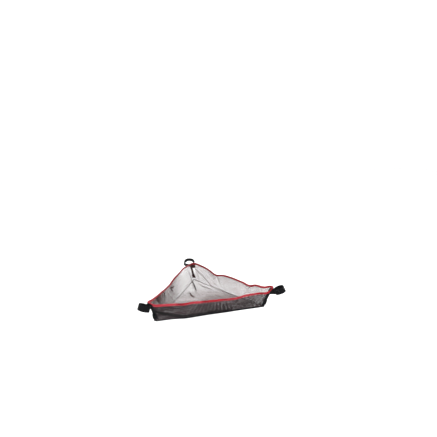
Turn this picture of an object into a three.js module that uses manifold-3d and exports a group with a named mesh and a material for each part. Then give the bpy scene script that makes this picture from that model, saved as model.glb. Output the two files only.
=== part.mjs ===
// Weight bag for a camera tripod: an open three-sided tray of mesh that hangs between the legs.
// Its rim is bound in red tape, its floor seams and corners in black tape, and at each corner a
// hook-and-loop strap closes round one leg.
// Millimetres, +Z up, +Y towards the rear corner. The origin is on the bag's axis, level with the
// corners of the rim.
import * as THREE from "three";
import { mergeVertices } from "three/addons/utils/BufferGeometryUtils.js";
import Module from "manifold-3d";

const wasm = await Module();
wasm.setup();

// The bag
const RIM_CORNER_RADIUS = 303; // from the axis to the point where two walls meet, at the rim
const FLOOR_CORNER_RADIUS = 273; // the same at the floor
const DEPTH = 84; // from the rim's corners down to the walls' lower edges
const RIM_SAG = 12; // fall of each rim at the middle of its span
const MESH_THICKNESS = 1.2;
const LAYER_GAP = 0.3; // air between two layers that are sewn together
const CORNER_CUT = 3; // each wall stops this far short of the point where two walls meet

// Tapes
const BINDING_THICKNESS = 1;
const RIM_BINDING_WIDTH = 9; // folded, from the rim's edge down
// On each side of a floor seam: broad at the front, slim where the other walls meet the floor
const FLOOR_BINDING_WIDTHS = { front: 9, right: 4, left: 4 };
const BINDING_CUT = 6; // each rim binding stops this far short of the corner
const MITRE_GAP = 0.5; // between the bag's axis and the lines that the floor bindings' ends lie on
const TAPE_THICKNESS = 1.2;
const TAPE_REACH = 15; // of a corner tape, on each of the two walls
const TAPE_TOP = 11.5; // its upper end, just under the rim's binding, below the rim's corners
const TAPE_BOTTOM = 73; // its lower end, a little above the floor
const HEM_HEIGHT = 16; // of the turned-up end of a corner tape

// Leg straps
const STRAP_WIDTH = 25;
const STRAP_THICKNESS = 2;
const LOOP_LENGTH = 46; // outside, away from the bag
const LOOP_BREADTH = 44; // outside, across the leg
const LEG_LEAN = 23; // degrees between a tripod leg and the vertical
const HINGE_RADIUS = 306; // from the bag's axis to the line about which a strap tilts
const HINGE_DROP = 9; // of that line below the rim's corners
const STRAP_ABOVE_HINGE = 5; // part of the strap's width that lies above it
const LOOP_MIDDLE = 20.8; // from that line to the loop's middle, which lies out from the bag
const LOOP_ASIDE = 12; // and round it, since each leg stands a little to one side of its corner
const NECK_THICKNESS = 3.6;
const NECK_HEIGHT = 13;
const NECK_TOP = 7; // below the rim's corners, clear of the strap when it tilts in over the bag
const PATCH_THICKNESS = 0.85; // of the hook and loop patches
const PATCH_MARGIN = 1.5; // bare strap above and below a patch
// Places round the loop, in degrees from its outer end
const FLAP_ROOT = 50;
const BAND_START = 54.5; // leaves the flap's rounded end free to turn
const BAND_END = 280;
const FLAP_LAP = -80; // where the flap comes to lie over the band's end
const FLAP_END = -128;
const PATCH_START = -84;
const PATCH_END = -125;
const LOOP_STEP = 7.5; // between points of the loop's outline

const SIDES = { front: -90, right: 30, left: 150 }; // way that each wall faces, degrees from +X
const CORNERS = { front_left: -150, front_right: -30, rear: 90 };

const WALL_IN = (RIM_CORNER_RADIUS - FLOOR_CORNER_RADIUS) / 2; // a wall's lower edge is this far in
const WALL_LEAN = Math.atan2(WALL_IN, DEPTH);
const WALL_SLOPE = Math.hypot(WALL_IN, DEPTH); // the wall's height, measured along it
const CORNER_SLOPE = (RIM_CORNER_RADIUS - FLOOR_CORNER_RADIUS) / DEPTH;
const HALF_RIM = RIM_CORNER_RADIUS * Math.sin(Math.PI / 3);
const HALF_FLOOR = FLOOR_CORNER_RADIUS * Math.sin(Math.PI / 3);

const LOOKS = {
  mesh: { color: 0x2f2f31, roughness: 0.85, metalness: 0 },
  redTape: { color: 0xb9323c, roughness: 0.75, metalness: 0 },
  blackTape: { color: 0x19191b, roughness: 0.8, metalness: 0 },
  strap: { color: 0x141415, roughness: 0.85, metalness: 0 },
  patch: { color: 0x202022, roughness: 0.95, metalness: 0 },
};

const rad = THREE.MathUtils.degToRad;
const polar = (radius, angle) => new THREE.Vector2(radius * Math.cos(angle), radius * Math.sin(angle));

function piece(name, geometry, look) {
  const mesh = new THREE.Mesh(geometry, new THREE.MeshStandardMaterial(LOOKS[look]));
  mesh.name = name;
  return mesh;
}

function solidOf(geometry) {
  const bare = geometry.clone();
  bare.deleteAttribute("normal");
  bare.deleteAttribute("uv");
  const merged = mergeVertices(bare, 1e-3);
  const vertProperties = new Float32Array(merged.attributes.position.array);
  const triVerts = new Uint32Array(merged.index.array);
  return new wasm.Manifold(new wasm.Mesh({ numProp: 3, vertProperties, triVerts }));
}

function geometryOf(solid) {
  const { vertProperties, triVerts } = solid.getMesh();
  const geometry = new THREE.BufferGeometry();
  geometry.setAttribute("position", new THREE.BufferAttribute(vertProperties, 3));
  geometry.setIndex(new THREE.BufferAttribute(triVerts, 1));
  return geometry;
}

function extrude(shape, depth) {
  return new THREE.ExtrudeGeometry(shape, { depth, bevelEnabled: false, curveSegments: 12 });
}

// Outline of a strip of even thickness along a line of points. A round start is a half circle
// about the first point.
function strip(points, thickness, roundStart = false) {
  const half = thickness / 2;
  const last = points.length - 1;
  const direction = (from, to) => to.clone().sub(from).normalize();
  const sides = points.map((point, i) => {
    const before = direction(points[Math.max(i - 1, 0)], points[Math.max(i, 1)]);
    const after = direction(points[Math.min(i, last - 1)], points[Math.min(i + 1, last)]);
    const along = before.clone().add(after).normalize();
    const reach = half / along.dot(before);
    const across = new THREE.Vector2(-along.y, along.x).multiplyScalar(reach);
    return [point.clone().add(across), point.clone().sub(across)];
  });
  const cap = [];
  if (roundStart) {
    const start = direction(points[0], points[1]).angle() - Math.PI / 2;
    for (let k = 1; k < 6; k++) {
      const turn = start - (k * Math.PI) / 6;
      cap.push(polar(half, turn).add(points[0]));
    }
  }
  const left = sides.map((pair) => pair[0]);
  const right = sides.map((pair) => pair[1]);
  return new THREE.Shape([...cap, ...left, ...right.reverse()]);
}

// ---- walls, in a frame with X along the wall, Z up its slope and Y out of it ----

// A layer of the wall: its outer face stands "outer" in front of the wall's outer face.
function wallLayer(shape, outer, thickness) {
  return extrude(shape, thickness).rotateX(Math.PI / 2).translate(0, outer, 0);
}

// Outline between the sagging rim and a lower line; both are measured up from the wall's foot.
function wallOutline(topAtCorner, bottom, dipBottom, cut) {
  const halfAt = (height) => HALF_FLOOR + (HALF_RIM - HALF_FLOOR) * (height / WALL_SLOPE) - cut;
  const shape = new THREE.Shape();
  shape.moveTo(-halfAt(bottom), bottom);
  shape.quadraticCurveTo(0, bottom - 2 * dipBottom, halfAt(bottom), bottom);
  shape.lineTo(halfAt(topAtCorner), topAtCorner);
  shape.quadraticCurveTo(0, topAtCorner - 2 * RIM_SAG, -halfAt(topAtCorner), topAtCorner);
  return shape;
}

function wallPanel() {
  return wallLayer(wallOutline(WALL_SLOPE, 0, 0, CORNER_CUT), 0, MESH_THICKNESS);
}

// Red tape folded over the rim: a strip as thick as both its layers and the wall between them,
// less the slot that the wall fills.
function rimBinding() {
  const edge = LAYER_GAP + BINDING_THICKNESS;
  const foot = WALL_SLOPE - RIM_BINDING_WIDTH;
  const outline = wallOutline(WALL_SLOPE + edge, foot, RIM_SAG, BINDING_CUT);
  const whole = wallLayer(outline, edge, MESH_THICKNESS + 2 * edge);
  const slotOutline = wallOutline(WALL_SLOPE + LAYER_GAP, foot - edge, RIM_SAG, BINDING_CUT);
  const slot = wallLayer(slotOutline, LAYER_GAP, MESH_THICKNESS + 2 * LAYER_GAP).scale(1.01, 1, 1);
  return geometryOf(solidOf(whole).subtract(solidOf(slot)));
}

// Black tape along the seam between wall and floor, an angle section: one side lies under the
// floor, the other on the outside of the wall. Its ends are mitred where three tapes meet.
function floorBinding(width) {
  const off = LAYER_GAP + BINDING_THICKNESS / 2;
  const bend = new THREE.Vector2(off, -off);
  const underFloor = bend.clone().add(new THREE.Vector2(-width, 0));
  const upTheWall = new THREE.Vector2(Math.sin(WALL_LEAN), Math.cos(WALL_LEAN))
    .multiplyScalar(width)
    .add(bend);
  const acrossToY = new THREE.Matrix4().makeBasis(
    new THREE.Vector3(0, 1, 0),
    new THREE.Vector3(0, 0, 1),
    new THREE.Vector3(1, 0, 0),
  );
  const length = 2 * RIM_CORNER_RADIUS; // longer than the seam, before the ends are cut
  const angle = extrude(strip([underFloor, bend, upTheWall], BINDING_THICKNESS), length)
    .applyMatrix4(acrossToY)
    .translate(-length / 2, 0, 0);
  // A third of the plan, from a point near the bag's axis, cuts both mitres.
  const nearAxis = MITRE_GAP - FLOOR_CORNER_RADIUS / 2;
  const halfThird = (length / 2) * Math.tan(Math.PI / 3);
  const third = new THREE.Shape([
    new THREE.Vector2(0, nearAxis),
    new THREE.Vector2(halfThird, nearAxis + length / 2),
    new THREE.Vector2(-halfThird, nearAxis + length / 2),
  ]);
  const cutter = extrude(third, DEPTH).translate(0, 0, -DEPTH / 2);
  return geometryOf(solidOf(angle).intersect(solidOf(cutter)));
}

function side(name, facing) {
  const group = new THREE.Group();
  group.rotation.z = rad(facing - 90);
  const foot = new THREE.Group();
  foot.position.set(0, FLOOR_CORNER_RADIUS / 2, -DEPTH);
  const slope = new THREE.Group();
  slope.rotation.x = -WALL_LEAN;
  slope.add(piece(name + "_wall", wallPanel(), "mesh"));
  slope.add(piece(name + "_rim_binding", rimBinding(), "redTape"));
  const binding = floorBinding(FLOOR_BINDING_WIDTHS[name]);
  foot.add(slope, piece(name + "_floor_binding", binding, "blackTape"));
  group.add(foot);
  return group;
}

// Mesh triangle with blunt corners, inside the feet of the walls.
function floorPanel() {
  const edgeDistance = FLOOR_CORNER_RADIUS / 2 - MESH_THICKNESS / Math.cos(WALL_LEAN) - LAYER_GAP;
  const cornerX = 2 * edgeDistance - CORNER_CUT;
  const cornerY = CORNER_CUT * Math.tan(Math.PI / 6);
  const middle = new THREE.Vector2();
  const points = Object.values(CORNERS).flatMap((angle) =>
    [-cornerY, cornerY].map((y) => new THREE.Vector2(cornerX, y).rotateAround(middle, rad(angle))),
  );
  const panel = extrude(new THREE.Shape(points), MESH_THICKNESS).translate(0, 0, -DEPTH);
  return piece("floor_panel", panel, "mesh");
}

// ---- corners, in a frame with X away from the bag's axis and Z up ----

// Tape folded round the corner, from height "low" to "high" (below the rim's corners, so both are
// negative). Its inner face stands "offset" off the walls' outer faces.
function cornerTape(offset, thickness, low, high) {
  const centre = RIM_CORNER_RADIUS - CORNER_CUT;
  const radius = CORNER_CUT / 2 + offset + thickness / 2;
  const nose = Math.PI / 3; // half the turn that the tape makes round the corner
  const armEnd = (way) => {
    const x = centre + radius * Math.cos(nose) - TAPE_REACH * Math.sin(nose);
    const y = radius * Math.sin(nose) + TAPE_REACH * Math.cos(nose);
    return new THREE.Vector2(x, way * y);
  };
  const path = new THREE.Path();
  path.moveTo(armEnd(1).x, armEnd(1).y);
  path.absarc(centre, 0, radius, nose, -nose, true);
  path.lineTo(armEnd(-1).x, armEnd(-1).y);
  return extrude(strip(path.getPoints(4), thickness), high - low)
    .translate(0, 0, low)
    .applyMatrix4(new THREE.Matrix4().makeShear(0, 0, 0, 0, CORNER_SLOPE, 0));
}

// Patch folded over the corner, with a flat neck that carries the leg strap. The neck ends in an
// edge on the line about which the strap tilts, and falls away above it to leave the strap room.
function strapAnchor() {
  const offset = 2 * LAYER_GAP + TAPE_THICKNESS;
  const bottom = -NECK_TOP - NECK_HEIGHT;
  const patch = cornerTape(offset, TAPE_THICKNESS, bottom, -NECK_TOP);
  const noseRadius = RIM_CORNER_RADIUS - CORNER_CUT / 2 + offset + TAPE_THICKNESS / 2;
  const nose = (height) => new THREE.Vector2(noseRadius + CORNER_SLOPE * height, height);
  const neck = new THREE.Shape([
    new THREE.Vector2(HINGE_RADIUS, -HINGE_DROP),
    nose(-NECK_TOP),
    nose(bottom),
    new THREE.Vector2(HINGE_RADIUS, bottom),
  ]);
  const blade = extrude(neck, NECK_THICKNESS).translate(0, 0, -NECK_THICKNESS / 2).rotateX(Math.PI / 2);
  return geometryOf(solidOf(patch).add(solidOf(blade)));
}

// ---- leg straps, in a frame with X away from the bag, Z up the leg and Y across it ----

// Point of the strap's middle line at an angle round the loop, "out" further out than the band.
function loopPoint(angle, out) {
  const reachX = (LOOP_LENGTH - STRAP_THICKNESS) / 2 + out;
  const reachY = (LOOP_BREADTH - STRAP_THICKNESS) / 2 + out;
  const x = LOOP_MIDDLE + reachX * Math.cos(rad(angle));
  const y = LOOP_ASIDE + reachY * Math.sin(rad(angle));
  return new THREE.Vector2(x, y);
}

function loopLine(from, to, outAt) {
  const count = Math.round(Math.abs(to - from) / LOOP_STEP);
  return Array.from({ length: count + 1 }, (_, i) => {
    const angle = from + ((to - from) * i) / count;
    return loopPoint(angle, outAt(angle));
  });
}

function strapPiece(line, thickness, margin = 0, roundStart = false) {
  const bottom = STRAP_ABOVE_HINGE - STRAP_WIDTH + margin;
  const height = STRAP_WIDTH - 2 * margin;
  return extrude(strip(line, thickness, roundStart), height).translate(0, 0, bottom);
}

const LOOP_PATCH_OUT = STRAP_THICKNESS / 2 + LAYER_GAP + PATCH_THICKNESS / 2;
const HOOK_PATCH_OUT = LOOP_PATCH_OUT + PATCH_THICKNESS + LAYER_GAP;
const FLAP_OUT = HOOK_PATCH_OUT + PATCH_THICKNESS / 2 + LAYER_GAP + STRAP_THICKNESS / 2;

// The flap leaves the band's line at its root and lies outside the patches where it laps the band.
function flapOut(angle) {
  return FLAP_OUT * THREE.MathUtils.smoothstep(FLAP_ROOT - angle, 0, FLAP_ROOT - FLAP_LAP);
}

function legStrap(corner) {
  const strap = new THREE.Group();
  strap.position.set(HINGE_RADIUS, 0, -HINGE_DROP);
  strap.rotation.y = -rad(LEG_LEAN);
  const band = strapPiece(loopLine(BAND_START, BAND_END, () => 0), STRAP_THICKNESS);
  const flap = strapPiece(loopLine(FLAP_ROOT, FLAP_END, flapOut), STRAP_THICKNESS, 0, true);
  const patch = (out) =>
    strapPiece(loopLine(PATCH_START, PATCH_END, () => out), PATCH_THICKNESS, PATCH_MARGIN);
  strap.add(
    piece(corner + "_strap_band", band, "strap"),
    piece(corner + "_strap_flap", flap, "strap"),
    piece(corner + "_loop_patch", patch(LOOP_PATCH_OUT), "patch"),
    piece(corner + "_hook_patch", patch(HOOK_PATCH_OUT), "patch"),
  );
  return strap;
}

function corner(name, angle) {
  const group = new THREE.Group();
  group.rotation.z = rad(angle);
  const tape = cornerTape(LAYER_GAP, TAPE_THICKNESS, -TAPE_BOTTOM, -TAPE_TOP);
  const hemOffset = 2 * LAYER_GAP + TAPE_THICKNESS;
  const hem = cornerTape(hemOffset, TAPE_THICKNESS, -TAPE_BOTTOM, HEM_HEIGHT - TAPE_BOTTOM);
  group.add(
    piece(name + "_corner_tape", tape, "blackTape"),
    piece(name + "_tape_hem", hem, "blackTape"),
    piece(name + "_strap_anchor", strapAnchor(), "strap"),
    legStrap(name),
  );
  return group;
}

const bag = new THREE.Group();
bag.add(floorPanel());
for (const [name, facing] of Object.entries(SIDES)) bag.add(side(name, facing));
for (const [name, angle] of Object.entries(CORNERS)) bag.add(corner(name, angle));

export default bag;
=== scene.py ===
"""Looks of a tripod weight bag: a three-cornered tray of see-through mesh, bound in red tape, that
hangs from a tripod's legs by a strap loop at each corner. Everything is in metres, +Z up."""

import math

import bpy
import numpy as np
from mathutils import Matrix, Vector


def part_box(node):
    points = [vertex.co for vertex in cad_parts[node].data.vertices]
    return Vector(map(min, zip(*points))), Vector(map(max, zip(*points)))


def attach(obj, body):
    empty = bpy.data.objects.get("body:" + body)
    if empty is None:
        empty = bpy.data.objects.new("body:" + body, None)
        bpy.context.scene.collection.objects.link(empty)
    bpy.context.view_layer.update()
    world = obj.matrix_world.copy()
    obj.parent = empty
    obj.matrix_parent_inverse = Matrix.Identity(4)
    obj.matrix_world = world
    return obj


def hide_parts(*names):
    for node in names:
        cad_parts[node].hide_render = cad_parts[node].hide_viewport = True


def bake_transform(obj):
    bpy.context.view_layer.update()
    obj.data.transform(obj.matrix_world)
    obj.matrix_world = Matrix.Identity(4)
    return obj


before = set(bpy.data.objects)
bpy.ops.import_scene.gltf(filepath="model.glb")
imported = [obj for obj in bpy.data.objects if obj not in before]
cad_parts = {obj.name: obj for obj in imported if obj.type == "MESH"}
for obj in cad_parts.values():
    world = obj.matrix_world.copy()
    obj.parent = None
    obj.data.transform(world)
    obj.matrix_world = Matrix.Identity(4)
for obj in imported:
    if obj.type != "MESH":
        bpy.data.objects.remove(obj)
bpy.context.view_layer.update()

# ---- driving sizes ----

CORNERS = {"front_left": -150, "front_right": -30, "rear": 90}  # way each corner points, degrees
SIDES = {  # way each wall faces, and the corners at its ends
    "front": (-90, "front_left", "front_right"),
    "right": (30, "front_right", "rear"),
    "left": (150, "rear", "front_left"),
}
DEPTH = -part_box("floor_panel")[0].z
RIM_SIDE = -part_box("front_wall")[0].y  # from the bag's axis to a wall, at the rim
FLOOR_SIDE = RIM_SIDE - 0.0145  # and at the floor
RIM_ROUND = {"front_left": 0.003, "front_right": 0.003, "rear": 0.016}  # corner radii at the rim
FLOOR_ROUND = 0.004
MESH_THICKNESS = 0.001
MESH_PITCH = 0.003  # between threads of the mesh

TAPE_WIDTH = 0.0078  # of the folded red binding, from the rim down
TAPE_HALF = 0.0017  # half the thickness of the folded binding with the mesh inside it
STITCH_ROW = 0.76  # where a binding's stitches run, as a share of its width
SEAM_WIDTH = {  # of the black binding, on each side of the floor seam: (place, metres)
    # On the front the binding widens to 12.5 mm near the middle, along the band of shade under the front
    # crease: there the black tape stands in for painted shade.
    "front": [(-1, .003), (-.6, .004), (-.35, .009), (-.1, .0125), (.3, .0105), (.6, .0075), (1, .004)],
    "right": [(-1, .004), (-.85, .0015), (1, .0015)],
    "left": [(-1, .0015), (.85, .0015), (1, .003)],
}
WEBBING_REACH = {"front_left": 0.0085, "front_right": 0.0170, "rear": 0.0060}  # on each wall
WEBBING_SLANT = {"front_left": 0.0, "front_right": -0.05, "rear": 0.22}  # out of line with the corner
CORNER_TAPE_TOP, CORNER_TAPE_FOOT, HEM_HEIGHT = -0.009, -0.073, 0.016

STRAP_WIDTH = 0.025
STRAP_HALF = 0.001  # half a strap's thickness
LEG_LEAN = 23  # degrees between a tripod leg and the vertical
HINGE_RADIUS = 0.306  # from the bag's axis to the line about which a strap tilts
HINGE_DROP = 0.009
STRAP_ABOVE_HINGE = 0.005
LOOP_MIDDLE = 0.0208  # from the hinge to the middle of the loop
LOOP_ASIDE = 0.012  # of the loop's middle, round the bag from its corner
STRAP_SHIFT = {  # each strap's place on its leg: away from the bag, across the leg, up the leg
    "front_left": (0.005, 0, -0.001),
    "front_right": (0.006, 0, -0.001),
    "rear": (0, 0.004, 0),
}
STRAP_LEAN = {"front_left": 0.0, "front_right": 0.0, "rear": 0.30}  # besides the leg's own
LOOP_REACH = (0.022, 0.021)  # half its size, away from the bag and across the leg
GROUND = -0.263  # the floor that the tripod stands on

# ---- shape of the cloth: (place along the wall from -1 to 1, metres) ----

RIM_HEIGHT = {
    "front": [(-1, .006), (-.975, -.001), (-.94, -.006), (-.8, -.012), (-.62, -.016), (-.47, -.021),
              (-.33, -.018), (-.1, -.018), (.16, -.019), (.43, -.021), (.57, -.014), (.77, -.011),
              (.94, -.008), (.975, -.002), (1, .009)],
    "right": [(-1, .009), (-.93, .006), (-.86, -.002), (-.63, -.009), (-.5, -.02), (-.35, -.016),
              (-.2, -.013), (.1, -.011), (.34, -.020), (.5, -.012), (.62, -.007), (.75, -.003),
              (.88, .001), (1, .003)],
    "left": [(-1, .003), (-.93, .001), (-.8, .003), (-.62, .008), (-.3, .011), (0, .004),
             (.16, -.006), (.3, -.005), (.55, .001), (.75, -.001), (.88, .001), (1, .006)],
}
RIM_OUT = {
    "front": [(-1, 0.007), (-.7, .002), (-.47, -.003), (-.2, .001), (.2, .003), (.6, -.002), (1, 0.008)],
    "right": [(-1, 0.008), (-.6, .004), (0, .004), (.35, -.004), (.6, .004), (.85, .003), (1, 0)],
    "left": [(-1, 0), (-.8, .007), (-.6, .009), (-.4, .004), (-.2, .001), (0, .003), (.14, .006),
             (.4, .001), (.7, 0), (1, 0.007)],
}
FOOT_OUT = {
    "front": [(-1, .011), (-.75, .004), (-.4, 0), (1, 0)],
    "right": [(-1, 0), (1, 0)],
    "left": [(-1, 0), (.4, 0), (.75, .004), (1, .011)],
}
FOOT_HEIGHT = {
    "front": [(-1, 0), (-.75, -.003), (-.5, -.0065), (-.2, -.006), (.1, -.004), (.5, -.002), (1, 0)],
    "right": [(-1, 0), (-.5, -.002), (0, -.003), (.5, -.002), (1, 0)],
    "left": [(-1, 0), (-.5, -.002), (0, -.003), (.5, -.002), (1, 0)],
}
FLOOR_SAG = 0.006  # of the floor's middle, below its seams
BILLOW = 0.003  # of the walls, outwards

# Folds: start and end (metres along the wall, share of its height), bend, depth, width, and how
# # closely the mesh bunches in them, which also sets the painted shade in their creases
WALL_FOLDS = {
    "front": [
        ((-.258, .72), (-.015, .04), -.0095, .010, .012, 0),
        ((-.253, .65), (-.020, .02), -.0095, -.003, .0058, 1.8),
        ((-.170, .25), (.060, .04), -.0060, -.002, .0105, 1.6),
        ((.060, .95), (.035, .25), .003, .003, .010, .1),
        ((.160, .98), (.190, .20), -.004, -.003, .012, .1),
        ((-.060, .98), (-.085, .45), .004, .003, .008, .1),
    ],
    "right": [
        ((.236, .66), (.095, .02), -.004, -.004, .0028, .35),
        ((.229, .60), (.200, .05), .003, .005, .0040, .2),
        ((.086, .98), (.050, .35), .004, .004, .0060, .1),
        ((-.128, .98), (-.100, .30), -.004, .004, .0070, .1),
    ],
    "left": [
        ((.124, .98), (.127, .44), -.002, -.006, .0028, 1),
        ((.050, .97), (.025, .50), .002, -.005, .0026, 1),
        ((.042, .82), (.008, .64), .002, .003, .0022, .8),
        ((-.204, .70), (-.211, .05), .002, .005, .0030, .8),
        ((.190, .95), (.150, .25), .003, .004, .0080, .3),
    ],
}
# On the floor: start and end (x, y), bend, height, width, bunching and painted crease shade
FLOOR_FOLDS = [
    ((-.012, .262), (-.017, .125), 0, .005, .0032, 1),
    ((.010, .220), (.060, .120), -.006, .004, .0040, .3),
    ((-.052, .120), (-.040, .055), -.004, .004, .0030, .6),
    ((-.200, -.110), (-.060, -.070), .006, .004, .0080, .2),
    ((.205, -.112), (.080, -.060), -.006, .004, .0080, .1),
]


def way(degrees):
    turn = math.radians(degrees)
    return np.array([math.cos(turn), math.sin(turn), 0.0])


def unit(vectors):
    return vectors / np.linalg.norm(vectors, axis=-1, keepdims=True)


def smoothstep(value):
    t = np.clip(value, 0, 1)
    return t * t * (3 - 2 * t)


def smooth_line(points, at):
    """The values at places "at", on a smooth line through the (place, value) points."""
    x, y = np.array(points, float).T
    slope = np.gradient(y, x)
    i = np.clip(np.searchsorted(x, at) - 1, 0, len(x) - 2)
    step = x[i + 1] - x[i]
    t = np.clip((at - x[i]) / step, 0, 1)
    rise = (1 + 2 * t) * (1 - t) ** 2 * y[i] + t * t * (3 - 2 * t) * y[i + 1]
    return rise + step * (t * (1 - t) ** 2 * slope[i] - t * t * (1 - t) * slope[i + 1])


def fold(x, y, start, end, bend, width):
    """A soft ridge from 0 to 1 along a bent line, fading at its ends."""
    start, end = np.array(start), np.array(end)
    along = end - start
    across = np.array([-along[1], along[0]]) / np.linalg.norm(along)
    t = np.linspace(0, 1, int(np.linalg.norm(along) / 0.0015))
    line = start + t[:, None] * along + (4 * bend * t * (1 - t))[:, None] * across
    distance = np.hypot(x[..., None] - line[:, 0], y[..., None] - line[:, 1])
    nearest = distance.argmin(-1)
    fade = np.sin(np.pi * (0.04 + 0.92 * t[nearest])) ** 0.5
    return fade * np.exp(-((distance.min(-1) / width) ** 1.5))


def folds(x, y, table):
    """Height of all the folds in a table, and how closely the cloth bunches in them, which also sets the
    painted shade in their creases.
    """
    height, bunching_and_painted_shade = np.zeros(x.shape), np.zeros(x.shape)
    for start, end, bend, depth, width, bunch_and_painted_shade in table:
        ridge = fold(x, y, start, end, bend, width)
        height += depth * ridge
        bunching_and_painted_shade = np.maximum(bunching_and_painted_shade, bunch_and_painted_shade * ridge)
    return height, bunching_and_painted_shade


def wall_folds(side, x, height):
    table = [((a, p * DEPTH), (b, q * DEPTH), *shape) for (a, p), (b, q), *shape in WALL_FOLDS[side]]
    return folds(x, height * DEPTH, table)


def ripples(x, y, seed, size, height):
    """Small uneven waves, the same each time."""
    waves = np.random.default_rng(seed)
    total = np.zeros(np.broadcast(x, y).shape)
    for _ in range(9):
        turn, phase = waves.uniform(0, 2 * np.pi, 2)
        length = size * waves.uniform(0.6, 1.8)
        total += np.sin(2 * np.pi * (x * np.cos(turn) + y * np.sin(turn)) / length + phase)
    return total * height / 3


def half_length(side, end, height):
    """Length of a wall from its middle to the corner at one end, and where its round part starts."""
    corner = SIDES[side][2 if end > 0 else 1]
    inradius = FLOOR_SIDE + (RIM_SIDE - FLOOR_SIDE) * height
    radius = FLOOR_ROUND + (RIM_ROUND[corner] - FLOOR_ROUND) * height
    straight = math.sqrt(3) * (inradius - radius)
    return straight + radius * math.pi / 3, straight, radius, inradius


def wall_point(side, along, height):
    """Points of a wall's middle surface: along from -1 to 1, height from 0 at the floor to 1."""
    along, height = np.broadcast_arrays(np.asarray(along, float), np.asarray(height, float))
    facing = SIDES[side][0]
    face, run = way(facing), way(facing + 90)
    ends = [half_length(side, end, height) for end in (-1, 1)]
    whole, straight, radius, inradius = (
        np.where(along < 0, first, last) for first, last in zip(*ends)
    )
    distance = np.abs(along) * whole
    turn = np.maximum(distance - straight, 0) / radius
    across = np.sign(along) * (np.minimum(distance, straight) + radius * np.sin(turn))
    out = inradius - radius + radius * np.cos(turn)
    outward = face * np.cos(turn)[..., None] + run * (np.sign(along) * np.sin(turn))[..., None]

    x, y = along * whole, height * DEPTH
    push = smooth_line(RIM_OUT[side], along) * smoothstep(height) ** 2
    push += smooth_line(FOOT_OUT[side], along) * np.clip(1 - height, 0, 1) ** 2
    inside = (1 - along**4) * np.sin(np.pi * height)
    push += BILLOW * inside
    seed = abs(facing)
    push += ripples(x, y, seed, 0.09, 0.0016) * (1 - along**6) * smoothstep(height * 2)
    push += wall_folds(side, x, height)[0] * (1 - along**12) * smoothstep(height * 6)
    top = smooth_line(RIM_HEIGHT[side], along)
    foot = -DEPTH + smooth_line(FOOT_HEIGHT[side], along) + ripples(x, 0 * x, seed + 1, 0.12, 0.0007)
    rise = foot + (top - foot) * height
    point = face * out[..., None] + run * across[..., None] + outward * push[..., None]
    point[..., 2] = rise
    return point


def wall_frame(side, along, height):
    """Points of a wall with the directions along it, up it and out of it."""
    point = wall_point(side, along, height)
    ahead = wall_point(side, np.minimum(along + 0.002, 1), height)
    behind = wall_point(side, np.maximum(along - 0.002, -1), height)
    above = wall_point(side, along, np.minimum(height + 0.02, 1))
    below = wall_point(side, along, np.maximum(height - 0.02, 0))
    run, up = unit(ahead - behind), unit(above - below)
    out = unit(np.cross(run, up))
    return point, run, up, out


def places(count):
    """Places along a wall, closer together near its corners."""
    even = np.linspace(-1, 1, count)
    return 0.6 * even + 0.4 * np.sin(even * np.pi / 2)


# ---- meshes from grids of points ----


def new_object(name, points, faces, uv, material, bunching_and_painted_shade=None):
    """faces hold point indices; uv holds, face by face, each corner's place on the cloth."""
    mesh = bpy.data.meshes.new(name)
    mesh.from_pydata(np.asarray(points).tolist(), [], [list(map(int, f)) for f in faces])
    layer = mesh.uv_layers.new(name="cloth")
    layer.data.foreach_set("uv", np.asarray(uv, np.float32).ravel())
    mesh.polygons.foreach_set("use_smooth", np.full(len(mesh.polygons), True))
    if bunching_and_painted_shade is not None:
        mesh.attributes.new("bunching_and_painted_shade", "FLOAT", "POINT").data.foreach_set("value", bunching_and_painted_shade)
    mesh.materials.append(material)
    mesh.validate()
    mesh.update()
    made = bpy.data.objects.new(name, mesh)
    bpy.context.scene.collection.objects.link(made)
    return made


def quads(rows, columns, wrap_rows=False, wrap_columns=False):
    """Faces of a grid of points, as row and column numbers of their corners."""
    r = np.arange(rows if wrap_rows else rows - 1)
    c = np.arange(columns if wrap_columns else columns - 1)
    r, c = (g.ravel() for g in np.meshgrid(r, c, indexing="ij"))
    return np.stack([r, r + 1, r + 1, r], 1), np.stack([c, c, c + 1, c + 1], 1)


def sheet_object(name, middle, out, uv, thickness, material, bunching_and_painted_shade=None):
    """A sheet about a grid of middle points, closed along its four edges. out may vary in length."""
    rows, columns = middle.shape[:2]
    half = np.broadcast_to(np.asarray(thickness), (rows, columns))[..., None] / 2
    points = np.concatenate([(middle + out * half).reshape(-1, 3), (middle - out * half).reshape(-1, 3)])
    flat = uv.reshape(-1, 2)
    r, c = quads(rows, columns)
    front = r * columns + c
    back = front[:, ::-1] + rows * columns
    index = np.arange(rows * columns).reshape(rows, columns)
    edge = np.concatenate([index[:, 0], index[-1, 1:], index[-2::-1, -1], index[0, -2:0:-1]])
    after = np.roll(edge, -1)
    rim = np.stack([edge, edge + rows * columns, after + rows * columns, after], 1)
    faces = np.concatenate([front, back, rim])
    if bunching_and_painted_shade is not None:
        bunching_and_painted_shade = np.tile(bunching_and_painted_shade.ravel(), 2)
    return new_object(name, points, faces, flat[faces % (rows * columns)], material, bunching_and_painted_shade)


def tube_object(name, rings, along, around, material, closed=False):
    """A tube through rings of points (stations, points, 3), capped at its ends unless it is closed."""
    stations, sides = rings.shape[:2]
    r, c = quads(stations, sides, closed, True)
    faces = (r % stations) * sides + c % sides
    uv = np.stack([along[r], around[c]], -1).reshape(-1, 2)
    faces = faces[:, ::-1].tolist()
    uv = uv.reshape(-1, 4, 2)[:, ::-1].reshape(-1, 2)
    if not closed:
        ends = [(range(sides), 0), (range(sides - 1, -1, -1), stations - 1)]
        for order, station in ends:
            faces.append([station * sides + i for i in order])
            cap = np.stack([np.full(sides, along[station]), around[list(order)]], 1)
            uv = np.concatenate([uv, cap])
    return new_object(name, rings.reshape(-1, 3), faces, uv, material)


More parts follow.
